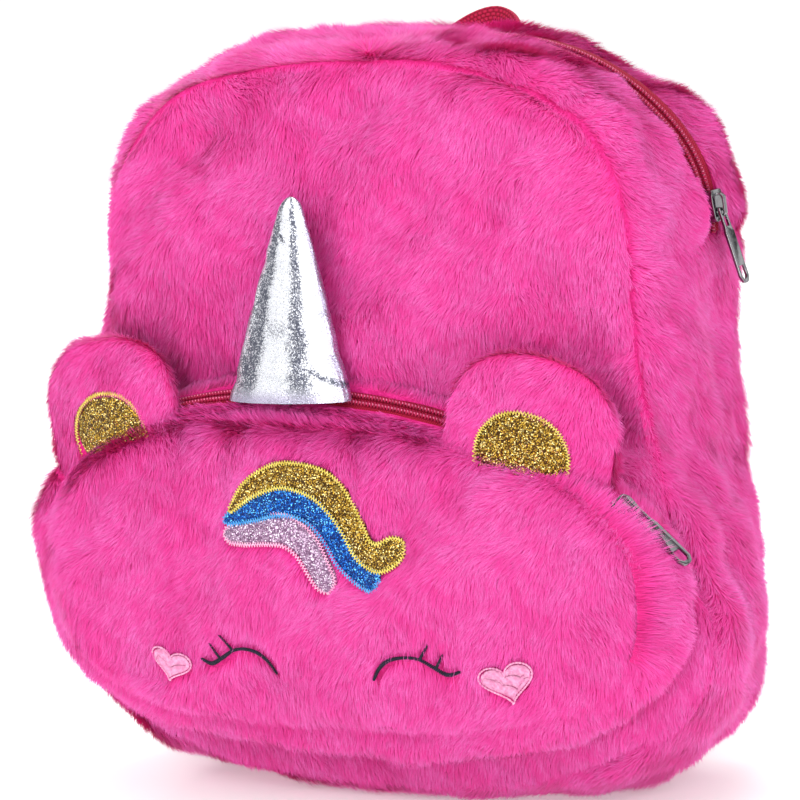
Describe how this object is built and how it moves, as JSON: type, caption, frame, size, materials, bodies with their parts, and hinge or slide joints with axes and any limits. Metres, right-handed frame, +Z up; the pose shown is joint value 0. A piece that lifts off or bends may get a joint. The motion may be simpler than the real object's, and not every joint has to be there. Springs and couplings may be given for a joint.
{
  "type": "plush animal backpack",
  "caption": "Child's hot-pink plush backpack with a sleepy unicorn face on its front pocket, glitter mane, silver horn, round ears and two crimson zips.",
  "frame": {"origin": "on the floor under the middle of the bag, halfway between the seams of its main gusset at the top", "axes": "+Z up, -Y out of the face on the front pocket, +Y towards the wearer's back, +X to the right of someone who looks at the face"},
  "size_m": [0.2988, 0.1823, 0.2963],
  "materials": {
    "plush": "short hot-pink pile plush, about 8 mm deep",
    "webbing": "crimson woven tape and webbing",
    "coil": "crimson zip coil",
    "metal": "dark nickel plate",
    "foil": "crinkled silver foil on soft leatherette",
    "gold": "gold glitter cloth",
    "blue": "blue glitter cloth",
    "pink": "pale pink glitter cloth",
    "thread": "dark navy embroidery thread",
    "satin": "pale pink satin stitch",
    "plastic": "dark red moulded plastic"
  },
  "bodies": {
    "bag": {"front_panel": "plush", "back_panel": "plush", "bottom_gusset": "plush", "zip_gusset_front": "plush", "zip_gusset_back": "plush", "main_zip_tape": "webbing", "main_zip_coil": "coil", "pocket_face": "plush", "pocket_gusset": "plush", "pocket_top_strip": "plush", "pocket_zip_tape": "webbing", "pocket_zip_coil": "coil", "ear_left": "plush", "ear_patch_left": "gold", "ear_right": "plush", "ear_patch_right": "gold", "horn": "foil", "mane_gold": "gold", "mane_blue": "blue", "mane_pink": "pink", "eye_left": "thread", "eye_right": "thread", "heart_left": "satin", "heart_right": "satin", "main_zip_slider": "metal", "pocket_zip_slider": "metal", "grab_handle": "webbing", "shoulder_strap_left": "webbing", "strap_adjuster_left": "plastic", "shoulder_strap_right": "webbing", "strap_adjuster_right": "plastic"},
    "main_pull": {"main_zip_pull": "metal"},
    "pocket_pull": {"pocket_zip_pull": "metal"}
  },
  "joints": [
    {"name": "main_pull_hinge", "type": "hinge", "parent": "bag", "child": "main_pull", "pos_m": [0.13001, 0.01022, 0.22097], "axis": [0.0408, -0.9992, 0.003], "range_deg": [0, 138]},
    {"name": "pocket_pull_hinge", "type": "hinge", "parent": "bag", "child": "pocket_pull", "pos_m": [0.12755, -0.06909, 0.12247], "axis": [-0.2176, -0.9536, -0.2083], "range_deg": [0, 150]}
  ]
}
